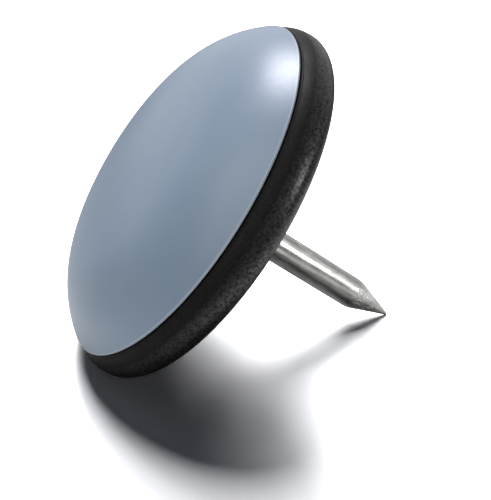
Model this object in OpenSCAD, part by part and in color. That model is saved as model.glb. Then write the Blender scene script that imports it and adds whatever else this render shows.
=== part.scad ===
// Nail-on furniture slider: a domed PTFE glide disc in a soft black carrier ring, held by a steel nail.
// Each piece is turned about the slider's own axis, which runs from the disc's crown to the nail's point.
// Heights along that axis count from the edge of the sliding face and grow towards the point.
// The finished slider then lies on its soft rim and on the tip of its nail, as it would on a bench.

/* [Glide disc] */
// Radius of the crown, the almost flat middle of the sliding face
crown_r = 45; // [36:1:120]
// Radius of the rounded shoulder between the crown and the edge
shoulder_r = 10; // [5:0.5:14]
// Slope of the sliding face where it reaches its edge, in degrees
edge_angle = 52; // [40:1:70]
// Thickness of the disc's upright edge
edge_t = 0.15; // [0.1:0.05:1]
// Rounding of the edge's back corner
edge_round = 0.06; // [0.02:0.01:0.09]
// Width of the ledge by which the disc reaches over the carrier's lip
ledge_w = 1.2; // [0.6:0.1:3]
// Height of the plug behind that ledge, which sits in the carrier
plug_h = 1.05; // [0.7:0.05:1.5]
// Chamfer round the plug's back edge
plug_chamfer = 0.2; // [0.05:0.05:0.4]

/* [Carrier] */
// Largest diameter of the carrier, and of the slider
carrier_d = 30; // [20:0.5:60]
// Thickness of the carrier from its lip to its flat back
carrier_t = 3; // [2.4:0.1:6]
// How far the wall flares out on its way from the lip to its widest circle
flare = 0.64; // [0.2:0.02:1]
// Rounding of the lip's outer corner
lip_round = 0.12; // [0.05:0.01:0.2]
// Rounding of the back edge
back_round = 1.2; // [0.4:0.05:1.4]
// Thin groove that stays open between the disc's ledge and the lip
groove = 0.12; // [0.05:0.01:0.4]
// How far the disc's edge lies inside the lip's outer corner
edge_inset = 0.1; // [0:0.05:0.5]
// Length over which the hole narrows round the nail's neck, up to the back
taper_len = 0.45; // [0.3:0.05:0.6]
// Depth of the small flat on the soft back edge where it bears on the bench
rest_flat = 0.05; // [0.02:0.01:0.15]

/* [Nail] */
// Diameter of the nail's shank
nail_d = 2.6; // [1.6:0.1:3.5]
// How far the nail stands out of the carrier's back
nail_reach = 18.8; // [10:0.5:40]
// Length of the conical point
point_len = 3.8; // [2:0.1:6]
// Radius that eases the shank into the cone
point_ease = 3; // [0.5:0.5:8]
// Rounding of the very tip
tip_round = 0.12; // [0.05:0.01:0.3]
// Diameter of the flat head under the disc
head_d = 9; // [6:0.5:14]
// Thickness of the flat head
head_t = 0.8; // [0.5:0.05:1]
// How much thicker the neck inside the carrier is than the shank, on each side
neck_step = 0.25; // [0.1:0.05:0.6]

/* [Fits] */
// Clearance round the plug, the head, the neck and the shank, on each side
fit_gap = 0.05; // [0.02:0.01:0.15]

/* [Hidden] */

// Angle between neighbouring points of an arc
arc_step = 3;
// Facets of a full turn where a preview needs them
$fn = 96;

// Radii
carrier_r = carrier_d / 2;
lip_r = carrier_r - flare;
face_r = lip_r - edge_inset;
plug_r = face_r - ledge_w;
recess_r = plug_r + fit_gap;
head_r = head_d / 2;
pocket_r = head_r + fit_gap;
nail_r = nail_d / 2;
neck_r = nail_r + neck_step;
bore_r = neck_r + fit_gap;
mouth_r = nail_r + fit_gap;

// Heights along the axis
lip_z = edge_t + groove;
seat_z = edge_t + plug_h;
head_z = seat_z + head_t;
back_z = lip_z + carrier_t;
taper_z = back_z - taper_len;
widest_z = back_z - back_round;
tip_z = back_z + nail_reach;
point_z = tip_z - point_len;

// The shoulder's arc ends at the disc's edge, and the crown's arc meets it smoothly
shoulder_x = face_r - shoulder_r * sin(edge_angle);
shoulder_z = shoulder_r * cos(edge_angle);
crown_z = shoulder_z + sqrt(pow(crown_r - shoulder_r, 2) - pow(shoulder_x, 2));
join_angle = asin(shoulder_x / (crown_r - shoulder_r));

// The flared wall is one arc from the lip's rounded corner, upright at the widest circle
flare_h = widest_z - lip_z - lip_round;
flare_r = (pow(flare_h, 2) + pow(flare, 2)) / (2 * flare);
flare_angle = asin(flare_h / flare_r);

// The cone touches the tip's ball, which ends at the point's full length, and an arc eases its start
cone_angle = atan(nail_r / point_len);
tip_centre_z = tip_z - tip_round;
shank_end_z = point_z - point_ease * tan(cone_angle / 2);

// Points of an arc round [x, z], at angles from outwards (0) towards the nail's point (90)
function arc(x, z, r, from, to) =
    let (n = max(2, ceil(abs(to - from) / arc_step)))
    [for (i = [0 : n]) let (t = from + (to - from) * i / n) [x + r * cos(t), z + r * sin(t)]];

// Outline of the disc: crown, shoulder, edge, ledge and plug
disc_outline = concat(
    arc(0, crown_z, crown_r, -90, join_angle - 90),
    arc(shoulder_x, shoulder_z, shoulder_r, join_angle - 90, edge_angle - 90),
    arc(face_r - edge_round, edge_t - edge_round, edge_round, 0, 90),
    [[plug_r, edge_t]],
    [[plug_r, seat_z - plug_chamfer]],
    [[plug_r - plug_chamfer, seat_z]],
    [[0, seat_z]]
);

// Outline of the carrier: lip, flared wall, rounded back edge, bore, head pocket and recess
carrier_outline = concat(
    [[recess_r, lip_z]],
    arc(lip_r - lip_round, lip_z + lip_round, lip_round, -90, 0),
    arc(carrier_r - flare_r, widest_z, flare_r, -flare_angle, 0),
    arc(carrier_r - back_round, widest_z, back_round, 0, 90),
    [[mouth_r, back_z]],
    [[bore_r, taper_z]],
    [[bore_r, head_z]],
    [[pocket_r, head_z]],
    [[pocket_r, seat_z]],
    [[recess_r, seat_z]]
);

// Outline of the nail: flat head, neck, taper, shank, eased conical point and rounded tip
nail_outline = concat(
    [[0, seat_z]],
    [[head_r, seat_z]],
    [[head_r, head_z]],
    [[neck_r, head_z]],
    [[neck_r, taper_z]],
    [[nail_r, back_z]],
    arc(nail_r - point_ease, shank_end_z, point_ease, 0, cone_angle),
    arc(0, tip_centre_z, tip_round, cone_angle, 90)
);

// The bench top touches the tip and lies as deep in the rounded back edge as its small flat
rest_run = tip_centre_z - widest_z;
rest_rise = carrier_r - back_round;
rest_drop = back_round - rest_flat - tip_round;
rest_angle = atan(rest_rise / rest_run) + asin(rest_drop / norm([rest_run, rest_rise]));
function lying_x(p, side) = p[1] * cos(rest_angle) + side * p[0] * sin(rest_angle);
function lying_z(p) = -p[1] * sin(rest_angle) - p[0] * cos(rest_angle);
outline_points = concat(disc_outline, carrier_outline, nail_outline);
lying_low_x = min([for (p = outline_points) lying_x(p, -1)]);
lying_high_x = max([for (p = outline_points) lying_x(p, 1)]);
lying_low_z = min([for (p = nail_outline) lying_z(p)]);

// Lays a piece down, with the nail pointing to +X and down
module lie_down()
    translate([-(lying_low_x + lying_high_x) / 2, 0, -lying_low_z])
        rotate([0, 90 + rest_angle, 0])
            children();

// The space under the bench top
module below_bench()
    translate([-carrier_d, -carrier_d, -carrier_d])
        cube([2 * carrier_d, 2 * carrier_d, carrier_d]);

module glide_disc()
    color([0.50, 0.59, 0.68])
        lie_down()
            rotate_extrude()
                polygon(disc_outline);

module carrier()
    color([0.09, 0.09, 0.10])
        difference() {
            lie_down()
                rotate_extrude()
                    polygon(carrier_outline);
            below_bench();
        }

module nail()
    color([0.72, 0.72, 0.70])
        lie_down()
            rotate_extrude()
                polygon(nail_outline);

glide_disc();
carrier();
nail();
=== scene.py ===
import math

import bpy
from mathutils import Euler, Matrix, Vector

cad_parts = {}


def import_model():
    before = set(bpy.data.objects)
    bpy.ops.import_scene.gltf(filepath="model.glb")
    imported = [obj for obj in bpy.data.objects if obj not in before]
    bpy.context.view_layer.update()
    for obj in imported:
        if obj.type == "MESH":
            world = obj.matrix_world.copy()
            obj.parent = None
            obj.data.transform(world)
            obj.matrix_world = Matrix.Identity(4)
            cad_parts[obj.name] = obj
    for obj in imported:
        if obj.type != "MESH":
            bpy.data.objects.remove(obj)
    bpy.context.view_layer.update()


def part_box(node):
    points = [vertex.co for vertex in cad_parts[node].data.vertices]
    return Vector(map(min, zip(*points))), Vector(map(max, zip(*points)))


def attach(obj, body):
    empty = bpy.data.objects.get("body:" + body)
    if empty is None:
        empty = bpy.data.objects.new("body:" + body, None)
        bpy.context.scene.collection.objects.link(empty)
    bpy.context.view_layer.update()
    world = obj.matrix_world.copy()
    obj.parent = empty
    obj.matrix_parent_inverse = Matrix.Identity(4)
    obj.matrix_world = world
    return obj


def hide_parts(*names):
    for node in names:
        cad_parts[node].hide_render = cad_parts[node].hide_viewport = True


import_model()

# ---------------------------------------------------------------- sizes, in millimetres
MM = 0.001

CROWN_R = 45.0
SHOULDER_R = 10.0
EDGE_ANGLE = 52.0
EDGE_T = 0.15
EDGE_ROUND = 0.06
LEDGE_W = 1.2
PLUG_H = 1.05
PLUG_CHAMFER = 0.2

CARRIER_R = 15.0
CARRIER_T = 3.0
FLARE = 0.64
LIP_ROUND = 0.12
BACK_ROUND = 1.2
GROOVE = 0.12
EDGE_INSET = 0.1
TAPER_LEN = 0.45
REST_FLAT = 0.05

NAIL_R = 1.3
NAIL_REACH = 18.8
POINT_LEN = 3.8
POINT_EASE = 3.0
TIP_ROUND = 0.12
HEAD_R = 4.5
HEAD_T = 0.8
NECK_STEP = 0.25

FIT_GAP = 0.05

# where the finishes change: the disc's edge, with a paler line painted on as an edge highlight, the
# ring's worn band and the nail's struck point
EDGE_HIGHLIGHT_WIDTH = 0.08
WORN_RISE = 1.0
WORN_FADE = (0.5, 0.1)
STRUCK_RISE = 0.6

LIP_R = CARRIER_R - FLARE
FACE_R = LIP_R - EDGE_INSET
PLUG_R = FACE_R - LEDGE_W
LIP_Z = EDGE_T + GROOVE
SEAT_Z = EDGE_T + PLUG_H
HEAD_Z = SEAT_Z + HEAD_T
BACK_Z = LIP_Z + CARRIER_T
TAPER_Z = BACK_Z - TAPER_LEN
WIDEST_Z = BACK_Z - BACK_ROUND
TIP_Z = BACK_Z + NAIL_REACH
POINT_Z = TIP_Z - POINT_LEN
TIP_CENTRE_Z = TIP_Z - TIP_ROUND
CONE_ANGLE = math.degrees(math.atan2(NAIL_R, POINT_LEN))

TURN_STEPS = 120
ARC_STEP = 1.5
SMALL_STEP = 10.0
SHARP_ANGLE = math.radians(28)


# ---------------------------------------------------------------- outlines
def arc(x, z, r, start, end, step=ARC_STEP):
    """Points of an arc round (x, z), from outwards (0 degrees) towards the nail's point (90)."""
    count = max(3, math.ceil(abs(end - start) / step))
    angles = [math.radians(start + (end - start) * i / count) for i in range(count + 1)]
    return [(x + r * math.cos(a), z + r * math.sin(a)) for a in angles]


def disc_outline():
    shoulder_x = FACE_R - SHOULDER_R * math.sin(math.radians(EDGE_ANGLE))
    shoulder_z = SHOULDER_R * math.cos(math.radians(EDGE_ANGLE))
    crown_z = shoulder_z + math.sqrt((CROWN_R - SHOULDER_R) ** 2 - shoulder_x ** 2)
    join = math.degrees(math.asin(shoulder_x / (CROWN_R - SHOULDER_R)))
    return (
        arc(0, crown_z, CROWN_R, -90, join - 90)
        + arc(shoulder_x, shoulder_z, SHOULDER_R, join - 90, EDGE_ANGLE - 90)[1:]
        + arc(FACE_R - EDGE_ROUND, EDGE_T - EDGE_ROUND, EDGE_ROUND, 0, 90, SMALL_STEP)
        + [(PLUG_R, EDGE_T), (PLUG_R, SEAT_Z - PLUG_CHAMFER), (PLUG_R - PLUG_CHAMFER, SEAT_Z)]
        + [(0, SEAT_Z)]
    )


def carrier_outline():
    flare_h = WIDEST_Z - LIP_Z - LIP_ROUND
    flare_r = (flare_h ** 2 + FLARE ** 2) / (2 * FLARE)
    flare_angle = math.degrees(math.asin(flare_h / flare_r))
    recess_r = PLUG_R + FIT_GAP
    bore_r = NAIL_R + NECK_STEP + FIT_GAP
    return (
        [(recess_r, LIP_Z)]
        + arc(LIP_R - LIP_ROUND, LIP_Z + LIP_ROUND, LIP_ROUND, -90, 0, SMALL_STEP)
        + arc(CARRIER_R - flare_r, WIDEST_Z, flare_r, -flare_angle, 0)[1:]
        + arc(CARRIER_R - BACK_ROUND, WIDEST_Z, BACK_ROUND, 0, 90)[1:]
        + [(NAIL_R + FIT_GAP, BACK_Z), (bore_r, TAPER_Z), (bore_r, HEAD_Z)]
        + [(HEAD_R + FIT_GAP, HEAD_Z), (HEAD_R + FIT_GAP, SEAT_Z), (recess_r, SEAT_Z)]
        + [(recess_r, LIP_Z)]
    )


def nail_outline():
    shank_end = POINT_Z - POINT_EASE * math.tan(math.radians(CONE_ANGLE / 2))
    return (
        [(0, SEAT_Z), (HEAD_R, SEAT_Z), (HEAD_R, HEAD_Z), (NAIL_R + NECK_STEP, HEAD_Z)]
        + [(NAIL_R + NECK_STEP, TAPER_Z), (NAIL_R, BACK_Z)]
        + arc(NAIL_R - POINT_EASE, shank_end, POINT_EASE, 0, CONE_ANGLE)
        + arc(0, TIP_CENTRE_Z, TIP_ROUND, CONE_ANGLE, 90, SMALL_STEP)
    )


# ---------------------------------------------------------------- how the slider lies
def rest_angle():
    """How far the nail points down when the ring's small flat and the tip are on the floor."""
    run = TIP_CENTRE_Z - WIDEST_Z
    rise = CARRIER_R - BACK_ROUND
    drop = BACK_ROUND - REST_FLAT - TIP_ROUND
    return math.atan2(rise, run) + math.asin(drop / math.hypot(run, rise))


LYING_TURN = Euler((0, math.pi / 2 + rest_angle(), 0))


def lying_place():
    """Where the middle of the disc's edge lies, from the tip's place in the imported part."""
    tip_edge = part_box("nail")[1].x
    tip = LYING_TURN.to_matrix() @ Vector((0, 0, TIP_CENTRE_Z * MM))
    return Vector((tip_edge - TIP_ROUND * MM - tip.x, 0, TIP_ROUND * MM - tip.z))


LYING_PLACE = lying_place()


# ---------------------------------------------------------------- pieces
def ring(radius, height):
    """A ring of points round the slider's axis, laid down, or one point where the radius is 0."""
    steps = 1 if radius < 1e-9 else TURN_STEPS
    turn = LYING_TURN.to_matrix()
    points = []
    for k in range(steps):
        a = 2 * math.pi * (k + 0.5) / steps
        own = Vector((radius * math.cos(a), radius * math.sin(a), height)) * MM
        laid = turn @ own + LYING_PLACE
        laid.z = max(laid.z, 0)
        points.append(laid)
    return points


def lathe(name, outline):
    """A mesh turned round the slider's axis from an outline of (radius, height)."""
    rings = []
    verts = []
    for radius, height in outline:
        points = ring(radius, height)
        rings.append(range(len(verts), len(verts) + len(points)))
        verts.extend(points)
    faces = []
    for low, high in zip(rings, rings[1:]):
        for k in range(TURN_STEPS):
            n = k + 1
            quad = [low[k % len(low)], low[n % len(low)], high[n % len(high)], high[k % len(high)]]
            face = list(dict.fromkeys(quad))
            if len(face) > 2:
                faces.append(face)
    mesh = bpy.data.meshes.new(name)
    mesh.from_pydata(verts, [], faces)
    mesh.validate()
    mesh.polygons.foreach_set("use_smooth", [True] * len(mesh.polygons))
    mesh.set_sharp_from_angle(angle=SHARP_ANGLE)
    piece = bpy.data.objects.new(name, mesh)
    bpy.context.scene.collection.objects.link(piece)
    return piece


def make_piece(name, outline, node, material):
    piece = lathe(name, outline)
    piece.data.materials.append(material)
    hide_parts(node)
    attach(piece, "root")
    return piece


# ---------------------------------------------------------------- materials
# the Mix node has a set of sockets for each kind of data, so its colour ones go by number
MIX_FACTOR, MIX_UNDER, MIX_OVER, MIX_RESULT = 0, 6, 7, 2


def colour_ramp(tree, fac, stops):
    """A ramp over fac with a colour at each place."""
    node = tree.nodes.new("ShaderNodeValToRGB")
    elements = node.color_ramp.elements
    while len(elements) < len(stops):
        elements.new(0.5)
    for element, (place, colour) in zip(elements, stops):
        element.position = place
        element.color = (*colour, 1)
    tree.links.new(fac, node.inputs["Fac"])
    return node.outputs["Color"]


class Nodes:
    """A material's node tree, with short calls for what the finishes use."""

    def __init__(self, name):
        self.material = bpy.data.materials.new(name)
        self.material.use_nodes = True
        self.tree = self.material.node_tree
        self.shader = self.tree.nodes["Principled BSDF"]
        self.own = self.axis_coordinates()

    def link(self, source, target):
        self.tree.links.new(source, target)

    def axis_coordinates(self):
        """Coordinates of the slider before it was laid down, with Z along its axis."""
        coords = self.tree.nodes.new("ShaderNodeTexCoord")
        node = self.tree.nodes.new("ShaderNodeMapping")
        node.vector_type = "TEXTURE"
        node.inputs["Location"].default_value = LYING_PLACE
        node.inputs["Rotation"].default_value = LYING_TURN
        self.link(coords.outputs["Object"], node.inputs["Vector"])
        return node.outputs["Vector"]

    def height(self):
        """Height along the slider's axis, in metres."""
        node = self.tree.nodes.new("ShaderNodeSeparateXYZ")
        self.link(self.own, node.inputs["Vector"])
        return node.outputs["Z"]

    def noise(self, size_mm, detail=4.0, roughness=0.5, length=1.0):
        """Noise with lumps about size_mm across, and length times that along the axis."""
        scale = self.tree.nodes.new("ShaderNodeMapping")
        per_metre = 1 / (size_mm * MM)
        scale.inputs["Scale"].default_value = (per_metre, per_metre, per_metre / length)
        self.link(self.own, scale.inputs["Vector"])
        node = self.tree.nodes.new("ShaderNodeTexNoise")
        node.inputs["Scale"].default_value = 1.0
        node.inputs["Detail"].default_value = detail
        node.inputs["Roughness"].default_value = roughness
        self.link(scale.outputs["Vector"], node.inputs["Vector"])
        return node.outputs["Fac"]

    def ramp(self, fac, stops):
        return colour_ramp(self.tree, fac, stops)

    def span(self, fac, low, high, from_low=0.3, from_high=0.7):
        """fac brought to low...high from a range that is, unless given, the usual one of noise."""
        node = self.tree.nodes.new("ShaderNodeMapRange")
        node.inputs["From Min"].default_value = from_low
        node.inputs["From Max"].default_value = from_high
        node.inputs["To Min"].default_value = low
        node.inputs["To Max"].default_value = high
        self.link(fac, node.inputs["Value"])
        return node.outputs["Result"]

    def maths(self, kind, a, b):
        node = self.tree.nodes.new("ShaderNodeMath")
        node.operation = kind
        self.link(a, node.inputs[0])
        self.link(b, node.inputs[1])
        return node.outputs["Value"]

    def blend(self, fac, colour, over):
        """The linked colour, and the plain one over it where fac is 1."""
        node = self.tree.nodes.new("ShaderNodeMix")
        node.data_type = "RGBA"
        node.inputs[MIX_OVER].default_value = (*over, 1)
        self.link(fac, node.inputs[MIX_FACTOR])
        self.link(colour, node.inputs[MIX_UNDER])
        return node.outputs[MIX_RESULT]

    def bump(self, height, depth_mm, under=None):
        """Relief depth_mm deep, laid over the relief under it."""
        node = self.tree.nodes.new("ShaderNodeBump")
        node.inputs["Distance"].default_value = depth_mm * MM
        self.link(height, node.inputs["Height"])
        if under is not None:
            self.link(under, node.inputs["Normal"])
        return node.outputs["Normal"]


def ptfe():
    """Satin blue-grey PTFE, faintly clouded, with a painted edge highlight: a paler line along its
    edge.
    """
    m = Nodes("ptfe")
    clouds = m.noise(9.0, detail=3.0)
    speckle = m.noise(0.35, detail=5.0, roughness=0.6)
    face = m.ramp(clouds, [(0.3, (0.190, 0.256, 0.334)), (0.7, (0.216, 0.280, 0.354))])
    # painted edge highlight: the base colour is paler in a thin band at the disc's edge
    painted_edge_highlight = m.span(m.height(), 0.0, 1.0, -EDGE_HIGHLIGHT_WIDTH * MM, 0.0)
    m.link(m.blend(painted_edge_highlight, face, (0.36, 0.42, 0.48)), m.shader.inputs["Base Color"])
    m.link(m.span(speckle, 0.34, 0.40), m.shader.inputs["Roughness"])
    fine = m.bump(speckle, 0.002)
    m.link(m.bump(m.noise(4.0, detail=2.0), 0.008, under=fine), m.shader.inputs["Normal"])
    m.shader.inputs["IOR"].default_value = 1.47
    m.shader.inputs["Subsurface Weight"].default_value = 0.12
    m.shader.inputs["Subsurface Radius"].default_value = (0.6, 0.8, 1.0)
    m.shader.inputs["Subsurface Scale"].default_value = 0.0006
    return m.material


def rubber():
    """Dull black, finely grained rubber, with a scuffed and worn band where the ring is widest."""
    m = Nodes("carrier_rubber")
    grain = m.noise(0.16, detail=5.0, roughness=0.6)
    scuffs = m.noise(0.20, detail=4.0, roughness=0.6)
    patches = m.noise(2.2, detail=3.0)
    tone = m.ramp(scuffs, [(0.35, (0.006, 0.006, 0.006)), (0.7, (0.013, 0.013, 0.012))])
    m.link(tone, m.shader.inputs["Base Color"])
    up_to_widest = m.span(m.height(), 0.0, 1.0, (WIDEST_Z - WORN_RISE) * MM, WIDEST_Z * MM)
    fade_start, fade_end = [(BACK_Z - away) * MM for away in WORN_FADE]
    off_the_back = m.span(m.height(), 1.0, 0.0, fade_start, fade_end)
    near_back = m.maths("MULTIPLY", up_to_widest, off_the_back)
    worn = m.maths("MULTIPLY", m.span(scuffs, 0.15, 1.0, 0.36, 0.62), near_back)
    m.link(m.span(worn, 0.05, 1.00, 0.0, 1.0), m.shader.inputs["Specular IOR Level"])
    polished = m.span(near_back, 0.0, -0.12, 0.0, 1.0)
    wear = m.maths("ADD", m.span(patches, 0.40, 0.52), polished)
    m.link(wear, m.shader.inputs["Roughness"])
    rough = m.bump(grain, 0.010)
    m.link(m.bump(scuffs, 0.015, under=rough), m.shader.inputs["Normal"])
    m.shader.inputs["IOR"].default_value = 1.56
    return m.material


def steel():
    """Drawn steel, marked and mottled along the shank, with a rough struck point."""
    m = Nodes("nail_steel")
    drawn = m.noise(0.22, detail=5.0, roughness=0.6, length=12.0)
    mottle = m.noise(0.55, detail=3.0, roughness=0.55, length=3.0)
    pits = m.noise(0.40, detail=3.0, roughness=0.6)
    on_point = m.span(m.height(), 0.0, 1.0, (POINT_Z - STRUCK_RISE) * MM, POINT_Z * MM)
    both = m.maths("MULTIPLY", m.span(drawn, 0.6, 1.0), m.span(mottle, 0.4, 1.0))
    tone = m.ramp(both, [(0.24, (0.40, 0.40, 0.38)), (0.8, (0.82, 0.82, 0.80))])
    m.link(tone, m.shader.inputs["Base Color"])
    m.link(m.span(on_point, 0.27, 0.34, 0.0, 1.0), m.shader.inputs["Roughness"])
    lengthwise = m.bump(drawn, 0.012)
    dented = m.bump(mottle, 0.016, under=lengthwise)
    struck = m.maths("MULTIPLY", m.span(pits, -0.5, 0.5, 0.0, 1.0), on_point)
    m.link(m.bump(struck, 0.22, under=dented), m.shader.inputs["Normal"])
    m.shader.inputs["Metallic"].default_value = 1.0
    return m.material


# ---------------------------------------------------------------- floor, light and camera
FLOOR_SIZE = 4.0
FLOOR_SEEN = (1.60, 1.61, 1.66)
FLOOR_BOUNCE = (0.50, 0.50, 0.51)
# the floor in reflections, by distance from the middle of the slider's shadow: a painted shadow
# close round it, a painted band of lit floor further out, and darker far away
SHADOW_MIDDLE = (0.0, -0.008, 0)
FLOOR_REACH = 0.2
FLOOR_PAINTED_SHADE_AND_LIGHT = [(0.0, 0.12), (0.065, 0.16), (0.10, 0.60), (0.12, 0.60), (0.18, 0.42), (0.50, 0.08)]

WHITE = (1.0, 1.0, 1.0)
AMBIENT = (0.90, 0.95, 1.12)
AMBIENT_STRENGTH = 0.025
# how bright the studio is in reflections, from its dim front right to its bright back left
STUDIO_TOWARDS = (-0.3, 0.95, 0.1)
STUDIO_TONES = [(0.08, 0.04), (0.25, 0.14), (0.5, 0.30), (0.75, 0.60), (1.0, 0.95)]

FLOOR = ["floor"]
SLIDER = ["sliding_disc", "carrier_ring", "steel_nail"]
# name: azimuth, elevation and width in degrees, strength, and what it lights
LAMPS = {
    "floor_core": (85, 46.7, 14.5, 2.32, FLOOR),
    "floor_wide": (85, 46, 33.5, 2.67, FLOOR),
    "floor_high": (94, 69.4, 18, 1.37, FLOOR),
    "floor_back": (87, 34.4, 14, 1.18, FLOOR),
    "key": (82, 57, 23, 3.2, SLIDER),
    "fill": (-134, 49, 60, 1.8, SLIDER),
    "strip": (-36, 22, 17, 0.50, ["carrier_ring", "steel_nail"]),
    "glow": (-20, 20, 60, 0.35, ["steel_nail"]),
}
LAMP_TINTS = {"key": (0.96, 0.94, 1.0)}


def grey_ramp(tree, fac, tones):
    return colour_ramp(tree, fac, [(place, (grey, grey, grey)) for place, grey in tones])


def by_ray(tree, plain, mirrored, seen):
    """One look for plain rays, one for reflections, and one for the camera and through glass."""
    path = tree.nodes.new("ShaderNodeLightPath")
    looks = {"Is Glossy Ray": mirrored, "Is Transmission Ray": seen, "Is Camera Ray": seen}
    surface = plain
    for ray, look in looks.items():
        mix = tree.nodes.new("ShaderNodeMixShader")
        tree.links.new(path.outputs[ray], mix.inputs["Fac"])
        tree.links.new(surface, mix.inputs[1])
        tree.links.new(look, mix.inputs[2])
        surface = mix.outputs["Shader"]
    return surface


def diffuse(tree, colour):
    node = tree.nodes.new("ShaderNodeBsdfDiffuse")
    node.inputs["Color"].default_value = (*colour, 1)
    return node


def floor():
    """A white floor as the camera sees it, what bounced light finds there, and in reflections a
    painted shadow round the slider with painted lit floor beyond it.
    """
    bpy.ops.mesh.primitive_plane_add(size=FLOOR_SIZE, location=(0, 0, 0))
    plane = bpy.context.object
    plane.name = "floor"
    material = bpy.data.materials.new("floor")
    material.use_nodes = True
    tree = material.node_tree
    tree.nodes.remove(tree.nodes["Principled BSDF"])

    coords = tree.nodes.new("ShaderNodeTexCoord")
    away = tree.nodes.new("ShaderNodeVectorMath")
    away.operation = "DISTANCE"
    away.inputs[1].default_value = SHADOW_MIDDLE
    tree.links.new(coords.outputs["Object"], away.inputs[0])
    share = tree.nodes.new("ShaderNodeMapRange")
    share.inputs["From Max"].default_value = FLOOR_REACH
    tree.links.new(away.outputs["Value"], share.inputs["Value"])
    mirrored = diffuse(tree, WHITE)
    # painted shade and light in reflections: darker close to the slider's shadow, paler in a band
    # beyond it
    tones = grey_ramp(tree, share.outputs["Result"], FLOOR_PAINTED_SHADE_AND_LIGHT)
    tree.links.new(tones, mirrored.inputs["Color"])

    seen = diffuse(tree, FLOOR_SEEN).outputs["BSDF"]
    surface = diffuse(tree, FLOOR_BOUNCE).outputs["BSDF"]
    surface = by_ray(tree, surface, mirrored.outputs["BSDF"], seen)
    tree.links.new(surface, tree.nodes["Material Output"].inputs["Surface"])
    plane.data.materials.append(material)


def background(tree, colour, strength):
    node = tree.nodes.new("ShaderNodeBackground")
    node.inputs["Color"].default_value = (*colour, 1)
    node.inputs["Strength"].default_value = strength
    return node


def world():
    """White behind everything, a studio that is dim in front in reflections, and a faint ambient."""
    sky = bpy.data.worlds.new("studio")
    bpy.context.scene.world = sky
    sky.use_nodes = True
    tree = sky.node_tree
    tree.nodes.remove(tree.nodes["Background"])

    coords = tree.nodes.new("ShaderNodeTexCoord")
    lean = tree.nodes.new("ShaderNodeVectorMath")
    lean.operation = "DOT_PRODUCT"
    lean.inputs[1].default_value = STUDIO_TOWARDS
    tree.links.new(coords.outputs["Generated"], lean.inputs[0])
    share = tree.nodes.new("ShaderNodeMapRange")
    share.inputs["From Min"].default_value = -1.0
    tree.links.new(lean.outputs["Value"], share.inputs["Value"])
    studio = background(tree, WHITE, 1.0)
    tones = grey_ramp(tree, share.outputs["Result"], STUDIO_TONES)
    tree.links.new(tones, studio.inputs["Color"])

    faint = background(tree, AMBIENT, AMBIENT_STRENGTH).outputs["Background"]
    white = background(tree, WHITE, 1.0).outputs["Background"]
    surface = by_ray(tree, faint, studio.outputs["Background"], white)
    tree.links.new(surface, tree.nodes["World Output"].inputs["Surface"])


def towards(azimuth, elevation):
    a, e = math.radians(azimuth), math.radians(elevation)
    return Vector((math.cos(e) * math.cos(a), math.cos(e) * math.sin(a), math.sin(e)))


def lamps():
    """Distant soft lamps that light only what they name; everything still casts their shadows."""
    for name, (azimuth, elevation, width, strength, lit_names) in LAMPS.items():
        lamp = bpy.data.lights.new(name, "SUN")
        lamp.energy = strength
        lamp.angle = math.radians(width)
        lamp.color = LAMP_TINTS.get(name, WHITE)
        holder = bpy.data.objects.new(name, lamp)
        holder.rotation_euler = towards(azimuth, elevation).to_track_quat("Z", "Y").to_euler()
        bpy.context.scene.collection.objects.link(holder)
        lit = bpy.data.collections.new("lit by " + name)
        for lit_name in lit_names:
            lit.objects.link(bpy.data.objects[lit_name])
        holder.light_linking.receiver_collection = lit


# the camera that fits the photo: its place in millimetres, and where it looks in degrees
PHOTO_LONG_SIDE = 500
FOCAL_PIXELS = 1000
SENSOR_MM = 36.0
CAMERA_AT = (-12.92, -70.17, 43.09)
CAMERA_AZIMUTH = 11.22
CAMERA_DOWN = 26.55
CLIP_START_MM = 5.0


def camera():
    data = bpy.data.cameras.new("camera")
    data.sensor_width = SENSOR_MM
    data.lens = FOCAL_PIXELS * SENSOR_MM / PHOTO_LONG_SIDE
    data.clip_start = CLIP_START_MM * MM
    holder = bpy.data.objects.new("camera", data)
    holder.location = [v * MM for v in CAMERA_AT]
    holder.rotation_euler = (math.radians(90 - CAMERA_DOWN), 0, math.radians(-CAMERA_AZIMUTH))
    bpy.context.scene.collection.objects.link(holder)
    bpy.context.scene.camera = holder


def build():
    make_piece("sliding_disc", disc_outline(), "glide_disc", ptfe())
    make_piece("carrier_ring", carrier_outline(), "carrier", rubber())
    make_piece("steel_nail", nail_outline(), "nail", steel())
    floor()
    world()
    lamps()
    camera()
    bpy.context.scene.view_settings.view_transform = "Standard"


build()
